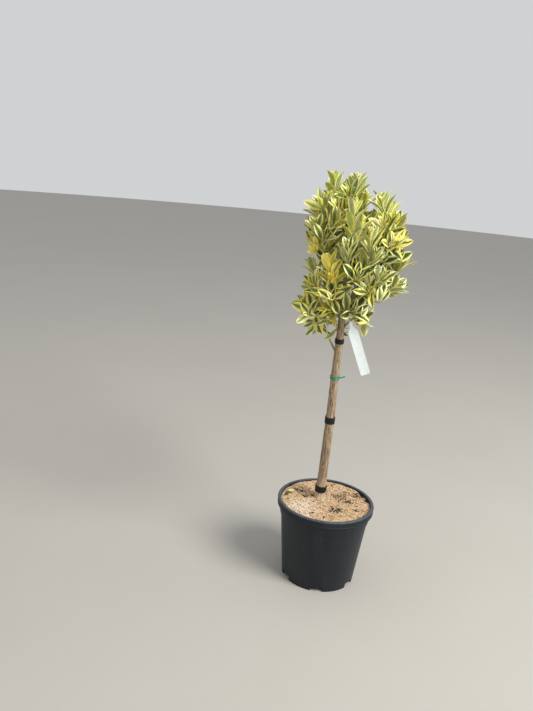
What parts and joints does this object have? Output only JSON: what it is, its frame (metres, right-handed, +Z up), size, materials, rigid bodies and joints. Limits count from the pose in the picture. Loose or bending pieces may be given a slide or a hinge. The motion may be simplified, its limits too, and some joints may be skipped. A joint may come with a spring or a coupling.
{
  "type": "variegated japanese spindle grown as a small standard in a nursery pot",
  "caption": "Small standard evergreen: a clear woody stem with a round head of cream and yellow edged leaves, in a round black nursery pot of compost, with a blank hanging label.",
  "frame": {"origin": "centre of the pot's flat underside, on the surface that it stands on", "axes": "+Z up along the pot's axis; -Y towards the viewer of the picture; +X to the viewer's right"},
  "size_m": [0.2871, 0.2796, 1.0397],
  "materials": {
    "pot_plastic": "matte",
    "compost": "matte",
    "bark": "matte",
    "leaf": "satin",
    "black_tape": "matte",
    "green_wire": "satin",
    "label_plastic": "satin"
  },
  "bodies": {
    "root": {"pot": "pot_plastic", "compost": "compost", "trunk": "bark", "bough_top": "bark", "bough_top_left": "bark", "bough_top_right": "bark", "bough_top_front": "bark", "bough_top_back": "bark", "bough_side_right": "bark", "bough_side_left": "bark", "bough_front_right": "bark", "bough_back_left": "bark", "bough_front_left": "bark", "bough_back_right": "bark", "bough_low_right": "bark", "bough_low_front": "bark", "bough_low_back": "bark", "bough_low_left": "bark", "foliage_top": "leaf", "foliage_top_left": "leaf", "foliage_top_right": "leaf", "foliage_top_front": "leaf", "foliage_top_back": "leaf", "foliage_side_right": "leaf", "foliage_side_left": "leaf", "foliage_front_right": "leaf", "foliage_back_left": "leaf", "foliage_front_left": "leaf", "foliage_back_right": "leaf", "foliage_low_right": "leaf", "foliage_low_front": "leaf", "foliage_low_back": "leaf", "foliage_low_left": "leaf", "band_low": "black_tape", "band_middle": "black_tape", "band_high": "black_tape", "wire_tie": "green_wire", "label": "label_plastic"}
  },
  "joints": []
}
